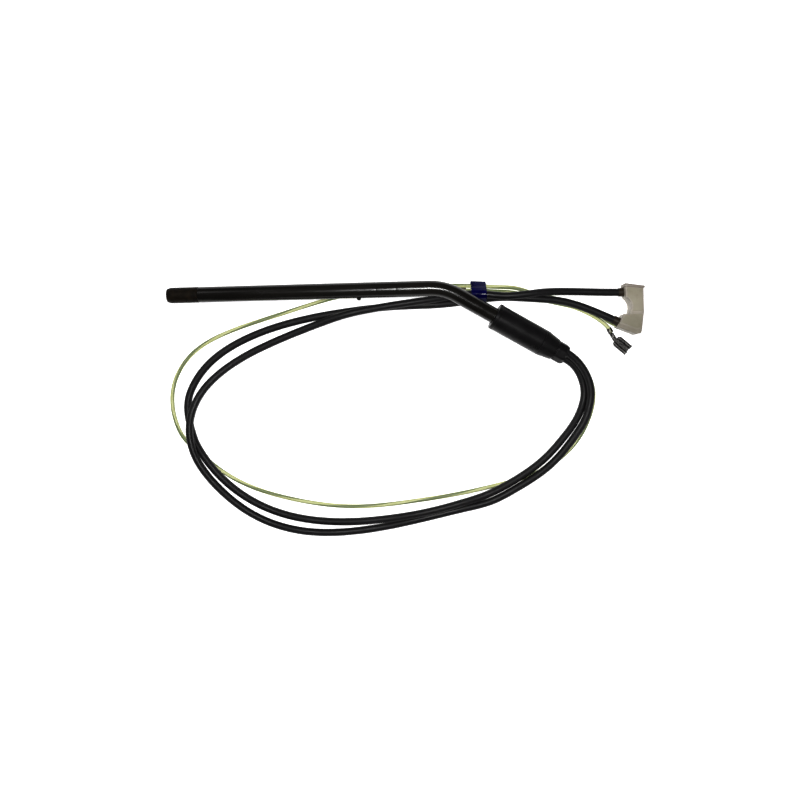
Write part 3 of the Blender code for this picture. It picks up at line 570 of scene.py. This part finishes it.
def swept(name, points, radius, material, body, sides=24, wobble=0.0, matrix=None, cap=0.25):
    """A round cord along the points, with rounded ends, and a map that runs round it and along it."""
    points = [Vector(point) for point in points]
    bm = bmesh.new()
    layer = bm.loops.layers.uv.new("UVMap")
    run = (points[1] - points[0]).normalized()
    side = run.cross(Vector((0, 0, 1))).normalized()
    rings = []
    lengths = []
    length = 0.0
    for i, point in enumerate(points):
        ahead = (points[min(i + 1, len(points) - 1)] - points[max(i - 1, 0)]).normalized()
        side = (side - ahead * side.dot(ahead)).normalized()
        up = ahead.cross(side)
        if i:
            length += (point - points[i - 1]).length
        size = radius * (1.0 + wobble * noise.noise(Vector((length * 180.0, radius * 9000.0, 0.0))))
        if i in (0, len(points) - 1):
            size *= 1.0 - cap
        ring = []
        for k in range(sides):
            turn = math.tau * k / sides
            ring.append(bm.verts.new(point + (side * math.cos(turn) + up * math.sin(turn)) * size))
        rings.append(ring)
        lengths.append(length / (math.tau * radius))
    for i, (first, second) in enumerate(zip(rings, rings[1:])):
        for k in range(sides):
            j = (k + 1) % sides
            face = bm.faces.new((first[k], first[j], second[j], second[k]))
            around = (k / sides, (k + 1) / sides, (k + 1) / sides, k / sides)
            along = (lengths[i], lengths[i], lengths[i + 1], lengths[i + 1])
            for loop, u, v in zip(face.loops, around, along):
                loop[layer].uv = (u, v)
    bm.faces.new(rings[0][::-1])
    bm.faces.new(rings[-1])
    return finish_piece(name, bm, material, matrix or Matrix.Identity(4), body, 60.0)


def layered(name, layers, material, matrix, body, angle=SHARP_ANGLE, holes=()):
    """Stacks closed outlines of (x, y, z) points, in metres, each with as many points, and caps both ends."""
    bm = bmesh.new()
    rings = [[bm.verts.new(point) for point in layer] for layer in layers]
    for first, second in zip(rings, rings[1:]):
        bridge(bm, first, second)
    bm.faces.new(rings[0][::-1])
    bm.faces.new(rings[-1])
    piece = finish_piece(name, bm, material, matrix, body, angle)
    carve(piece, holes)
    return piece


def carve(piece, cutters):
    """Cuts the cutters out of the piece for good, and removes them."""
    for cutter in cutters:
        modifier = piece.modifiers.new(cutter.name, "BOOLEAN")
        modifier.object = cutter
        modifier.solver = "EXACT"
        modifier.operation = "DIFFERENCE"
    if cutters:
        graph = bpy.context.evaluated_depsgraph_get()
        mesh = bpy.data.meshes.new_from_object(piece.evaluated_get(graph))
        piece.modifiers.clear()
        piece.data = mesh
        mesh.shade_smooth()
        mesh.set_sharp_from_angle(angle=math.radians(SHARP_ANGLE))
    for cutter in cutters:
        bpy.data.objects.remove(cutter, do_unlink=True)


def cutter_rod(name, low, high, radius, matrix):
    """A bar along X to cut with, in millimetres."""
    bm = bmesh.new()
    place = Matrix.Translation(((low + high) / 2 * MM, 0, 0)) @ Matrix.Rotation(math.pi / 2, 4, "Y")
    bmesh.ops.create_cone(
        bm, cap_ends=True, segments=48, radius1=radius * MM, radius2=radius * MM,
        depth=(high - low) * MM, matrix=place,
    )
    return add_cutter(name, bm, matrix)


def cutter_block(name, low, high, matrix):
    """A box between two corners to cut with, in millimetres."""
    bm = bmesh.new()
    low, high = Vector(low) * MM, Vector(high) * MM
    place = Matrix.Translation((low + high) / 2) @ Matrix.Diagonal((*(high - low), 1.0))
    bmesh.ops.create_cube(bm, size=1.0, matrix=place)
    return add_cutter(name, bm, matrix)


def add_cutter(name, bm, matrix):
    bmesh.ops.recalc_face_normals(bm, faces=bm.faces)
    cutter = add_object(name, mesh_from(name, bm))
    cutter.matrix_world = matrix
    bpy.context.view_layer.update()
    return cutter


def inset(outline, amounts):
    """Moves each edge of a closed outline inwards by its own amount and joins the edges again."""
    points = [Vector(point) for point in outline]
    count = len(points)
    area = sum(a.x * b.y - b.x * a.y for a, b in zip(points, points[1:] + points[:1]))
    turn = 1.0 if area > 0 else -1.0
    lines = []
    for i in range(count):
        run = (points[(i + 1) % count] - points[i]).normalized()
        normal = Vector((-run.y, run.x)) * turn
        lines.append((points[i] + normal * amounts[i], run))
    made = []
    for i in range(count):
        (p, r), (q, s) = lines[i - 1], lines[i]
        cross = r.x * s.y - r.y * s.x
        if abs(cross) < 1e-6:
            made.append((q.x, q.y))
            continue
        gap = q - p
        t = (gap.x * s.y - gap.y * s.x) / cross
        made.append((p.x + r.x * t, p.y + r.y * t))
    return made


def stand_in(node, material):
    """Gives a CAD node that stays in view its procedural material."""
    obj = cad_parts[node]
    if not obj.material_slots:
        obj.data.materials.append(material)
    for item in obj.material_slots:
        item.material = material


# ---------------------------------------------------------------- cords

def port_point(along, radius, turn):
    return HOUSING @ Vector((along * MM, radius * math.cos(turn) * MM, radius * math.sin(turn) * MM))


def make_cords():
    """The two cables and the two earth wires, along the routes of the CAD model."""
    made = {}
    for name, node, offset, turn, route, material in (
        ("cable_a_jacket", "cable_a", CABLE_OFFSET, CABLE_TURN, ROUTE_A, JACKET_A),
        ("cable_b_jacket", "cable_b", -CABLE_OFFSET, CABLE_TURN, ROUTE_B, JACKET_B),
        ("earth_wire_skin", "earth_wire", WIRE_OFFSET, WIRE_TURN, ROUTE_EARTH, EARTH),
        ("earth_tail_skin", "earth_tail", None, None, ROUTE_TAIL, EARTH),
    ):
        if material is EARTH:
            size, spacing, sides, slot = WIRE_RADIUS, 0.0014, 20, "earth_insulation"
        else:
            size, spacing, sides, slot = CABLE_RADIUS, 0.0016, 32, "cable_jacket"
        whole = list(route)
        if offset is not None:
            whole = [port_point(at, offset, turn) for at in PORT_STATIONS] + whole
        points = smooth_points(whole, spacing, size + FLOOR_GAP)
        piece = swept(name, points, size, material, "probe", sides, 0.012)
        present(node)
        length = float(np.linalg.norm(np.diff(points, axis=0), axis=1).sum())
        made[node] = (piece, points, size, length)
    return made


# ---------------------------------------------------------------- the probe

def make_tube():
    """The black bent tube: two faint rolled rings near the middle, and a slight flat where it is bent."""
    end = TIP_TO_BEND - SETBACK + BEND_RADIUS * BEND_ANGLE + TUBE_PAST_BEND - SETBACK
    outline = [(20.5, 3.8), (20.5, 5.0), (end, 5.0), (end, 3.8)]
    profile = subdivided(rounded(outline, 0.25, 3), 2.4)

    def shape(along, radius, turn):
        size = radius
        if radius > 4.5:
            for groove in ROLLED_RINGS:
                size -= 0.07 * math.exp(-((along - groove) / 0.45) ** 2)
            bend = math.exp(-((along - TIP_TO_BEND) / 9.0) ** 2)
            size -= 0.10 * bend * abs(math.cos(turn)) ** 3
        return size

    extra = [at + offset for at in ROLLED_RINGS for offset in (-0.9, -0.45, -0.2, 0.0, 0.2, 0.45, 0.9)]
    outer = [point for point in profile if point[1] > 4.9 and 21.5 < point[0] < end - 1]
    merged = sorted(outer + [(at, 5.0) for at in extra])
    start = profile.index(outer[0])
    profile = profile[:start] + merged + profile[profile.index(outer[-1]) + 1:]
    tube = turned("tube_skin", profile, TUBE, PROBE, "probe", 96, on_bent_axis, shape)
    present("sight_tube")
    dome = [(1.62, 0.0), (1.55, 0.7), (1.25, 1.2), (0.45, 1.35), (0.0, 1.75), (0.0, 0.0)]
    place = PROBE @ Matrix.Translation((0.124, -0.00478, 0)) @ Matrix.Rotation(-math.pi / 2, 4, "Z")
    pin = turned("pin_dome", rounded(dome, 0.15, 3, False), TUBE, place, "probe", 40, closed=False)
    present("locating_pin")


def make_tip():
    """The screwed tip: a long chamfer at its mouth, a burnt look, and the window in its ring."""
    sleeve = turned("tip_skin", subdivided(rounded([
        (0.0, 4.1), (0.4, 4.42), (2.4, 5.0), (19.95, 5.0), (20.2, 4.88), (20.2, 3.5), (26.8, 3.5),
        (27.0, 3.3), (27.0, 2.9), (20.6, 2.9), (20.6, 3.3), (6.2, 3.3), (6.2, 3.9), (0.3, 3.9), (0.0, 4.05),
    ], 0.2, 3), 3.0), TIP, PROBE, "tip", 80)
    present("tip_sleeve")

    def notched(along, radius, turn):
        return radius + (0.22 * max(0.0, math.cos(4 * turn)) ** 12 if radius < 3.2 else 0.0)

    section = rounded([(0.6, 2.95), (0.6, 3.6), (2.0, 3.6), (2.0, 2.9)], 0.12, 3)
    ring = turned("ring_skin", section, BRASS, PROBE, "tip", 96, shape=notched)
    present("window_ring")
    lens = [
        (2.3, 0.0), (2.31, 0.5), (2.36, 1.0), (2.44, 1.6), (2.56, 2.2), (2.72, 2.8), (2.9, 3.3), (3.05, 3.55),
        (3.2, 3.6), (3.9, 3.6), (4.0, 3.5), (4.0, 2.0), (4.0, 0.0),
    ]
    window = turned("window_lens", lens, GLASS, PROBE, "tip", 64, closed=False)
    present("window")
    seal = turned("seal_ring", [
        (5.0 + 0.58 * math.cos(t), 3.0 + 0.58 * math.sin(t)) for t in (math.tau * i / 20 for i in range(20))
    ], RUBBER, PROBE, "tip", 64)
    present("window_seal")


def make_housing():
    """The moulded housing, its snapped-on tapered cap and the faceted cable nut."""
    body = turned("housing_skin", subdivided(rounded([
        (36.8, 5.3), (36.8, 8.2), (37.3, 8.65), (39.0, 8.65), (39.4, HOUSING_RADIUS), (40.0, HOUSING_RADIUS),
        (71.2, HOUSING_RADIUS),
        (71.5, 8.34), (71.5, 7.4), (40.0, 7.4), (40.0, 5.3),
    ], 0.22, 3), 2.5), HOUSING_BLACK, HOUSING, "probe", 128, shape=parting)
    present("housing_body")
    cap = turned("cap_skin", subdivided(rounded([
        (66.5, 6.4), (66.5, 7.1), (71.6, 7.1), (71.6, 8.33), (71.85, 8.47), (73.2, 8.4), (81.0, 7.12),
        (81.7, 6.8), (81.7, 6.4),
    ], 0.25, 3), 1.2), CAP_BLACK, HOUSING, "probe", 128, shape=ribbed)
    present("rear_cap")
    nut = turned("nut_skin", subdivided(rounded([
        (78.9, 5.45), (78.9, 6.1), (82.0, 6.1), (82.0, 6.35), (82.5, 6.75), (87.6, 6.7), (88.7, 6.35),
        (NUT_END, 5.9), (NUT_END, 5.6), (89.2, 5.45),
    ], 0.22, 3), 0.8), NUT_BLACK, HOUSING, "nut", 144, shape=faceted)
    present("cable_nut")
    make_snap()


def parting(along, radius, turn):
    """A hairline mould ridge on two sides of the body."""
    if radius < 8.0:
        return radius
    ridge = max(0.0, math.cos(2 * (turn - math.radians(20.0)))) ** 900
    return radius + 0.05 * ridge


def ribbed(along, radius, turn):
    """Broad flats pressed into the taper."""
    if along < 73.0 or radius < 6.9:
        return radius
    depth = 0.16 * min(1.0, (along - 73.0) / 3.0)
    return radius - depth * max(0.0, math.cos(6 * turn)) ** 2


def faceted(along, radius, turn):
    """Eight flats round the nut, with rounded corners between them."""
    if radius < 6.2 or along < 82.2:
        return radius
    sector = math.tau / 8
    off = (turn + sector / 2) % sector - sector / 2
    flat = (radius - 0.34) / math.cos(off)
    return min(radius, flat)


def make_snap():
    """The oval snap window near the seam of the housing: a raised rim with the catch sunk in it."""
    turn = math.radians(126.0)

    def on_skin(along, around, height):
        angle = turn + around / 8.5
        radius = (HOUSING_RADIUS + height) * MM
        return (along * MM, radius * math.cos(angle), radius * math.sin(angle))

    def oval(size, height):
        return [
            on_skin(68.0 + (2.4 + size) * math.cos(t), (1.5 + size) * math.sin(t), height)
            for t in (math.tau * i / 40 for i in range(40))
        ]

    rim = layered("snap_rim", [
        oval(0.55, -0.15), oval(0.50, 0.10), oval(0.38, 0.22), oval(0.16, 0.24), oval(0.04, 0.12),
        oval(0.0, -0.12), oval(-0.12, -0.15),
    ], HOUSING_BLACK, HOUSING, "probe", 50.0)
    catch = layered("snap_catch", [
        oval(-0.45, -0.14), oval(-0.5, 0.06), oval(-0.62, 0.16), oval(-0.95, 0.20),
    ], CAP_BLACK, HOUSING, "probe", 50.0)


# ---------------------------------------------------------------- band, plug and terminal

def make_band(cords):
    """The blue film wound round the harness just over once, drawn tight over the cords."""
    circles = []
    for piece, points, radius, _ in cords.values():
        beside = points[points[:, 1] > 0.0]
        beside = beside[np.argsort(beside[:, 0])]
        circles.append((beside, radius))
        if piece.name == "earth_wire_skin":
            circles.append((beside + np.array((0, BAND_SLACK, 0)), radius))
    normals = np.linspace(0.0, math.tau, 360, endpoint=False)
    turns = [math.tau * i / BAND_SIDES for i in range(BAND_SIDES)]

    def ring_at(along, offset):
        """The (y, z) outline at one place: the cords' shared hull, grown by an offset for each turn."""
        centres = np.array([
            [np.interp(along * MM, route[:, 0], route[:, k]) for k in (1, 2)] + [radius]
            for route, radius in circles
        ])
        middle = centres[:, :2].mean(axis=0)
        reach = np.max(
            (centres[:, None, 0] - middle[0]) * np.cos(normals)
            + (centres[:, None, 1] - middle[1]) * np.sin(normals) + centres[:, None, 2],
            axis=0,
        )
        made = []
        for turn in turns:
            lean = np.cos(normals - turn)
            seen = lean > 0.05
            size = np.min((reach[seen] + offset(turn) * MM) / lean[seen])
            made.append((middle[0] + size * math.cos(turn), middle[1] + size * math.sin(turn)))
        return made

    def thickness(along, turn):
        """The film's build-up in millimetres: a step where its end laps over, and soft creases."""
        lap = 0.0
        if math.cos(turn - 1.1) > -0.2:
            lap = 0.13 / (1.0 + math.exp(-40.0 * math.sin(turn - 1.1)))
        crease = 0.07 * noise.noise(Vector((along * 0.55, math.cos(turn) * 2.4, math.sin(turn) * 2.4)))
        return 0.50 + lap + crease

    edge = (0.0, 0.25, 0.6)
    inner = BAND_END - BAND_START - 2.0
    places = [BAND_START + step for step in edge]
    places += [BAND_START + 1.0 + inner * i / (BAND_STATIONS - 1) for i in range(BAND_STATIONS)]
    places += [BAND_END - step for step in reversed(edge)]
    bm = bmesh.new()
    rings = []
    for k, along in enumerate(places):
        at_edge = k in (0, len(places) - 1)
        trim = 0.14 if at_edge else 0.0
        outline = ring_at(along, lambda turn: thickness(along, turn) - trim)
        ring = []
        for turn, (y, z) in zip(turns, outline):
            wave = 0.0
            if at_edge:
                wave = 0.30 * noise.noise(Vector((k * 3.0, math.cos(turn) * 3, math.sin(turn) * 3)))
            ring.append(bm.verts.new(((along + wave) * MM, y, z)))
        rings.append(ring)
    for along in (BAND_END - 0.05, (BAND_START + BAND_END) / 2, BAND_START + 0.05):
        rings.append([bm.verts.new((along * MM, y, z)) for y, z in ring_at(along, lambda turn: 0.24)])
    for first, second in zip(rings, rings[1:] + rings[:1]):
        bridge(bm, first, second)
    band = finish_piece("band_film_wrap", bm, BAND, Matrix.Identity(4), "probe", 50.0)
    present("cable_band")


def levels(outline, radius, steps):
    """Levels of an outline, each drawn in by an amount, and perhaps by more along the sloping edges."""
    made = []
    for z, amount, *slope in steps:
        amounts = [amount] * len(outline)
        if slope:
            for i in SLOPING_EDGES:
                amounts[i] += slope[0]
        made.append([(x * MM, y * MM, z * MM) for x, y in rounded(inset(outline, amounts), radius, 3)])
    return made


def make_plug():
    """The flat plug: a body with its entries and sockets, a lid on a seam, a flange and two raised fields."""
    holes = [
        cutter_rod("hole_a", -8.0, 4.4, 3.0, ENTRY_A),
        cutter_rod("hole_b", -8.0, 3.5, 3.05, ENTRY_B),
        cutter_rod("hole_earth", -6.0, 3.8, 1.55, ENTRY_EARTH),
    ]
    sockets = ((8.3, -4.7), (8.3, -9.9), (8.3, -15.1), (7.0, -26.0))
    for x, y in sockets:
        holes.append(cutter_block(f"socket_{-y:.0f}", (x, y - 1.35, 3.2), (x + 6.0, y + 1.35, 7.4), PLUG))
    body = layered("plug_shell", levels(PLUG_OUTLINE, 0.35, (
        (0.05, 0.5), (0.15, 0.2), (0.5, 0.0), (1.2, 0.0), (9.2, 0.0), (9.85, 0.0), (10.0, 0.22),
    )), PLUG_GREY, PLUG, "probe", holes=holes)
    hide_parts("plug_body")
    lid = layered("plug_lid", levels(PLUG_OUTLINE, 0.35, (
        (10.0, 0.35), (10.18, 0.35), (10.25, 0.10), (10.4, 0.0, 0.08),
        (11.5, 0.0, 1.75), (11.8, 0.04, 2.05), (11.93, 0.14, 2.15), (12.0, 0.34, 2.2),
    )), PLUG_GREY, PLUG, "probe", holes=[
        cutter_block("groove_flange", (1.6, -3.3, 10.9), (11.5, -2.8, 13.0), PLUG),
        cutter_block("groove_fields", (4.4, -18.9, 11.5), (11.3, -18.4, 13.0), PLUG),
    ])
    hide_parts("plug_cover")
    upper = (
        (1.5, -2.3), (11.2, -3.3), (11.2, -17.6), (4.5, -17.6),
        (5.2, -15.0), (4.7, -11.9), (3.2, -9.2), (1.6, -7.8),
    )
    lower = ((3.6, -19.7), (11.0, -19.7), (9.7, -27.9), (7.0, -28.6), (-2.7, -24.6), (-0.4, -20.5))
    fields = []
    for name, outline, top in (("plug_field_upper", upper, 12.32), ("plug_field_lower", lower, 12.22)):
        steps = ((11.8, 0.0), (top - 0.12, 0.02), (top - 0.03, 0.12), (top, 0.32))
        fields.append(layered(name, levels(outline, 0.5, steps), PLUG_OLIVE, PLUG, "probe"))
    # The flange takes the darker copy of the plug plastic, which is painted shade.
    flange = layered("plug_flange", levels(((-0.1, -1.9), (0.0, 0.3), (12.7, -1.55), (12.7, -2.75)), 0.4, (
        (1.0, 0.2), (1.2, 0.0), (12.45, 0.0), (12.65, 0.08), (12.75, 0.3),
    )), PLUG_FLANGE_SHADE, PLUG, "probe")
    pieces = [body, lid, flange] + fields
    for start, y in sockets:
        layers = []
        for x, w, t in ((start + 0.1, 0.9, 1.2), (start + 2.4, 0.9, 1.2), (start + 2.8, 0.7, 1.0)):
            section = rounded(((-w, -t), (w, -t), (w, t), (-w, t)), 0.1, 2)
            layers.append([(x * MM, (y + a) * MM, (5.3 + b) * MM) for a, b in section])
        spring = layered(f"socket_spring_{-y:.0f}", layers, TIN, PLUG, "probe")
        pieces.append(spring)
    for name, matrix, node in (("boot_a", ENTRY_A, "plug_boot_a"), ("boot_b", ENTRY_B, "plug_boot_b")):
        profile = rounded([(-3.4, 2.5), (-3.4, 2.66), (-0.6, 2.84), (0.7, 2.9), (0.7, 2.5)], 0.1, 3)
        boot = turned(name, profile, BOOT, matrix, "probe", 64)
        present(node)
        pieces.append(boot)
    return pieces


def strip(points, thickness):
    """The outline of a bent strip of sheet metal: its middle line drawn out to both sides."""
    line = [np.array(point, dtype=float) for point in points]
    left, right = [], []
    for i, point in enumerate(line):
        run = line[min(i + 1, len(line) - 1)] - line[max(i - 1, 0)]
        run = run / np.linalg.norm(run)
        normal = np.array((-run[1], run[0]))
        left.append(point + normal * thickness / 2)
        right.append(point - normal * thickness / 2)
    return left + right[::-1]


def make_terminal():
    """The tab receptacle: rolled side rails over a flat base, a neck, and two crimps on the wire."""
    def rails(scale_y, height, roll_end):
        """The box's section: a flat base with its two sides rolled up and in."""
        radius = 1.12 * height
        middle = 2.52 * scale_y
        turns = [math.radians(-90 + (roll_end + 90) * i / 16) for i in range(17)]
        right = [(middle + radius * math.cos(t), 0.2 + radius + radius * math.sin(t)) for t in turns]
        base = [(-middle + 2 * middle * i / 10, 0.2) for i in range(1, 10)]
        left = [(-y, z) for y, z in reversed(right)]
        return strip(left + base + right, 0.36)

    def at(along, outline):
        return [(along * MM, y * MM, z * MM) for y, z in outline]

    shell = layered("terminal_box", [
        at(1.0, rails(0.60, 0.80, 150)), at(1.5, rails(0.80, 0.92, 195)), at(2.2, rails(0.96, 0.99, 228)),
        at(2.9, rails(1.0, 1.0, 240)), at(6.5, rails(1.0, 1.0, 240)), at(10.6, rails(1.0, 1.0, 240)),
        at(11.2, rails(1.01, 1.03, 228)), at(11.6, rails(1.03, 1.08, 212)),
    ], TARNISHED, TERMINAL_BOX, "probe", 40.0)
    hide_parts("terminal")

    def collar(along, size, height, groove, gap):
        """A crimp's outline round the wire, open by a gap at the top where its wings meet."""
        points = []
        for i in range(33):
            turn = math.radians(90 + gap + (360 - 2 * gap) * i / 32)
            degrees = math.degrees(turn)
            near_start = math.exp(-(((degrees - 90 - gap) % 360) / 26) ** 2)
            near_end = math.exp(-((360 - 2 * gap - degrees + 90 + gap) / 26) ** 2)
            radius = size * (1.0 - groove * near_start - groove * near_end)
            points.append((radius * math.cos(turn), height + radius * math.sin(turn)))
        return at(along, strip(points, 0.30))

    jacket_crimp = layered("terminal_jacket_crimp", [
        collar(-0.2, 1.72, 2.0, 0.05, 8), collar(0.1, 1.60, 2.0, 0.10, 6), collar(2.6, 1.60, 2.0, 0.12, 6),
        collar(2.9, 1.66, 2.0, 0.06, 8),
    ], TARNISHED, TERMINAL, "probe", 40.0)
    wire_crimp = layered("terminal_wire_crimp", [
        collar(4.0, 1.36, 1.62, 0.08, 5), collar(4.4, 1.16, 1.52, 0.28, 4), collar(7.0, 1.16, 1.52, 0.28, 4),
        collar(7.5, 1.34, 1.62, 0.08, 5),
    ], TARNISHED, TERMINAL, "probe", 40.0)
    neck_line = ((-0.1, 1.3), (2.9, 1.3), (3.6, 1.15), (4.2, 1.25), (7.2, 1.25), (7.9, 1.2))
    neck = layered("terminal_neck", [
        at(x, rounded(((-w, 0.06), (w, 0.06), (w, 0.38), (-w, 0.38)), 0.08, 2)) for x, w in neck_line
    ], TARNISHED, TERMINAL, "probe", 40.0)
    shoulder = layered("terminal_shoulder", [
        at(x, rounded(((-w, 0.06), (w, 0.06), (w, 0.37), (-w, 0.37)), 0.08, 2))
        for x, w in ((-0.4, 1.1), (0.2, 1.25), (1.0, 1.6), (2.0, 2.2))
    ], TARNISHED, TERMINAL_BOX, "probe", 40.0)
    dome = rounded([(0.33, 0.0), (0.25, 0.75), (0.0, 1.0), (0.0, 0.0)], 0.12, 3, False)
    place = TERMINAL_BOX @ Matrix.Translation((0.0066, 0, 0.00034)) @ Matrix.Rotation(-math.pi / 2, 4, "Y")
    dimple = turned("terminal_dimple", dome, TARNISHED, place, "probe", 32, closed=False)
    pieces = [shell, jacket_crimp, wire_crimp, neck, shoulder, dimple]
    for i in range(9):
        pieces.append(make_strand(i))
    return pieces


def make_strand(i):
    """One bare strand from the wire's end through the crimp: eight round a middle one, each cut unevenly."""
    turn = math.tau * i / 8
    reach = 0.0 if i == 8 else 0.52
    across = reach * math.cos(turn)
    upward = reach * math.sin(turn)
    end = 7.9 + 0.35 * noise.noise(Vector((i * 1.7, 0.3, 0.0)))
    route = [
        Vector((x * MM, across * squeeze * MM, (z + upward * squeeze) * MM)) for x, z, squeeze in (
            (2.2, 1.98, 1.0), (3.4, 1.85, 1.05), (4.4, 1.55, 0.85), (7.2, 1.5, 0.85), (end, 1.5, 1.15),
        )
    ]
    points = smooth_points(route, 0.0004, -1.0)
    return swept(f"strand_{i}", points, 0.00019, TARNISHED, "probe", 8, 0.0, TERMINAL, 0.1)


def dress_inner_nodes():
    """Gives the CAD nodes that stay in view, mostly inside the probe, their materials."""
    for material, nodes in (
        (STEEL, ("sensor_can", "gland_washer", "tube_circlip")),
        (INSULATOR, ("sensor_carrier", "lead_spacer")),
        (LEAD_RED, ("lead_a",)),
        (LEAD_BLUE, ("lead_b",)),
        (RUBBER, ("cable_grommet", "tube_seal")),
        (COPPER, ("earth_clip", "earth_core", "cable_core_a", "cable_core_b")),
        (TIN, ("sensor_header", "crimp_joint_a", "crimp_joint_b", "earth_splice")),
        (TIN, ("plug_contact_a", "plug_contact_b", "plug_contact_earth")),
    ):
        for node in nodes:
            stand_in(node, material)


add_camera()
cords = make_cords()
add_studio()
make_tube()
make_tip()
make_housing()
make_band(cords)
plug_pieces = make_plug()
terminal_pieces = make_terminal()
dress_inner_nodes()
